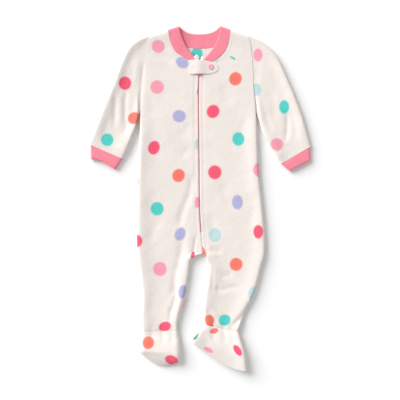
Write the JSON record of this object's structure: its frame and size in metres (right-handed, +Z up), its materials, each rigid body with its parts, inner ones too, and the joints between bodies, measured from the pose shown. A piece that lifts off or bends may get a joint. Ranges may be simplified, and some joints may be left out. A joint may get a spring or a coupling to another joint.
{
  "type": "footed baby sleepsuit",
  "caption": "Footed fleece baby sleepsuit laid flat on its back, with long sleeves, rib neckband and cuffs, a full front zip with a snapped guard, and sewn-on feet",
  "frame": {"origin": "middle of the garment's plan, on the surface that it lies on", "axes": "+Y towards the neck, +X towards the garment's left sleeve (the picture's right), +Z up out of the garment's front"},
  "size_m": [0.4195, 0.6537, 0.0178],
  "materials": {
    "fleece": "soft brushed fleece, warm white",
    "rib": "rib knit, pink",
    "zip_tape": "woven tape, dusty pink",
    "zip_slider": "glossy",
    "snap": "satin"
  },
  "bodies": {
    "root": {"front_left": "fleece", "front_right": "fleece", "back": "fleece", "sleeve_left": "fleece", "sleeve_right": "fleece", "zip_guard": "fleece", "foot_upper_left": "fleece", "foot_upper_right": "fleece", "foot_sole_left": "fleece", "foot_sole_right": "fleece", "cuff_left": "rib", "cuff_right": "rib", "neckband": "rib", "zip_tape_left": "zip_tape", "zip_tape_right": "zip_tape", "zip_slider": "zip_slider", "snap_cap": "snap"}
  },
  "joints": []
}
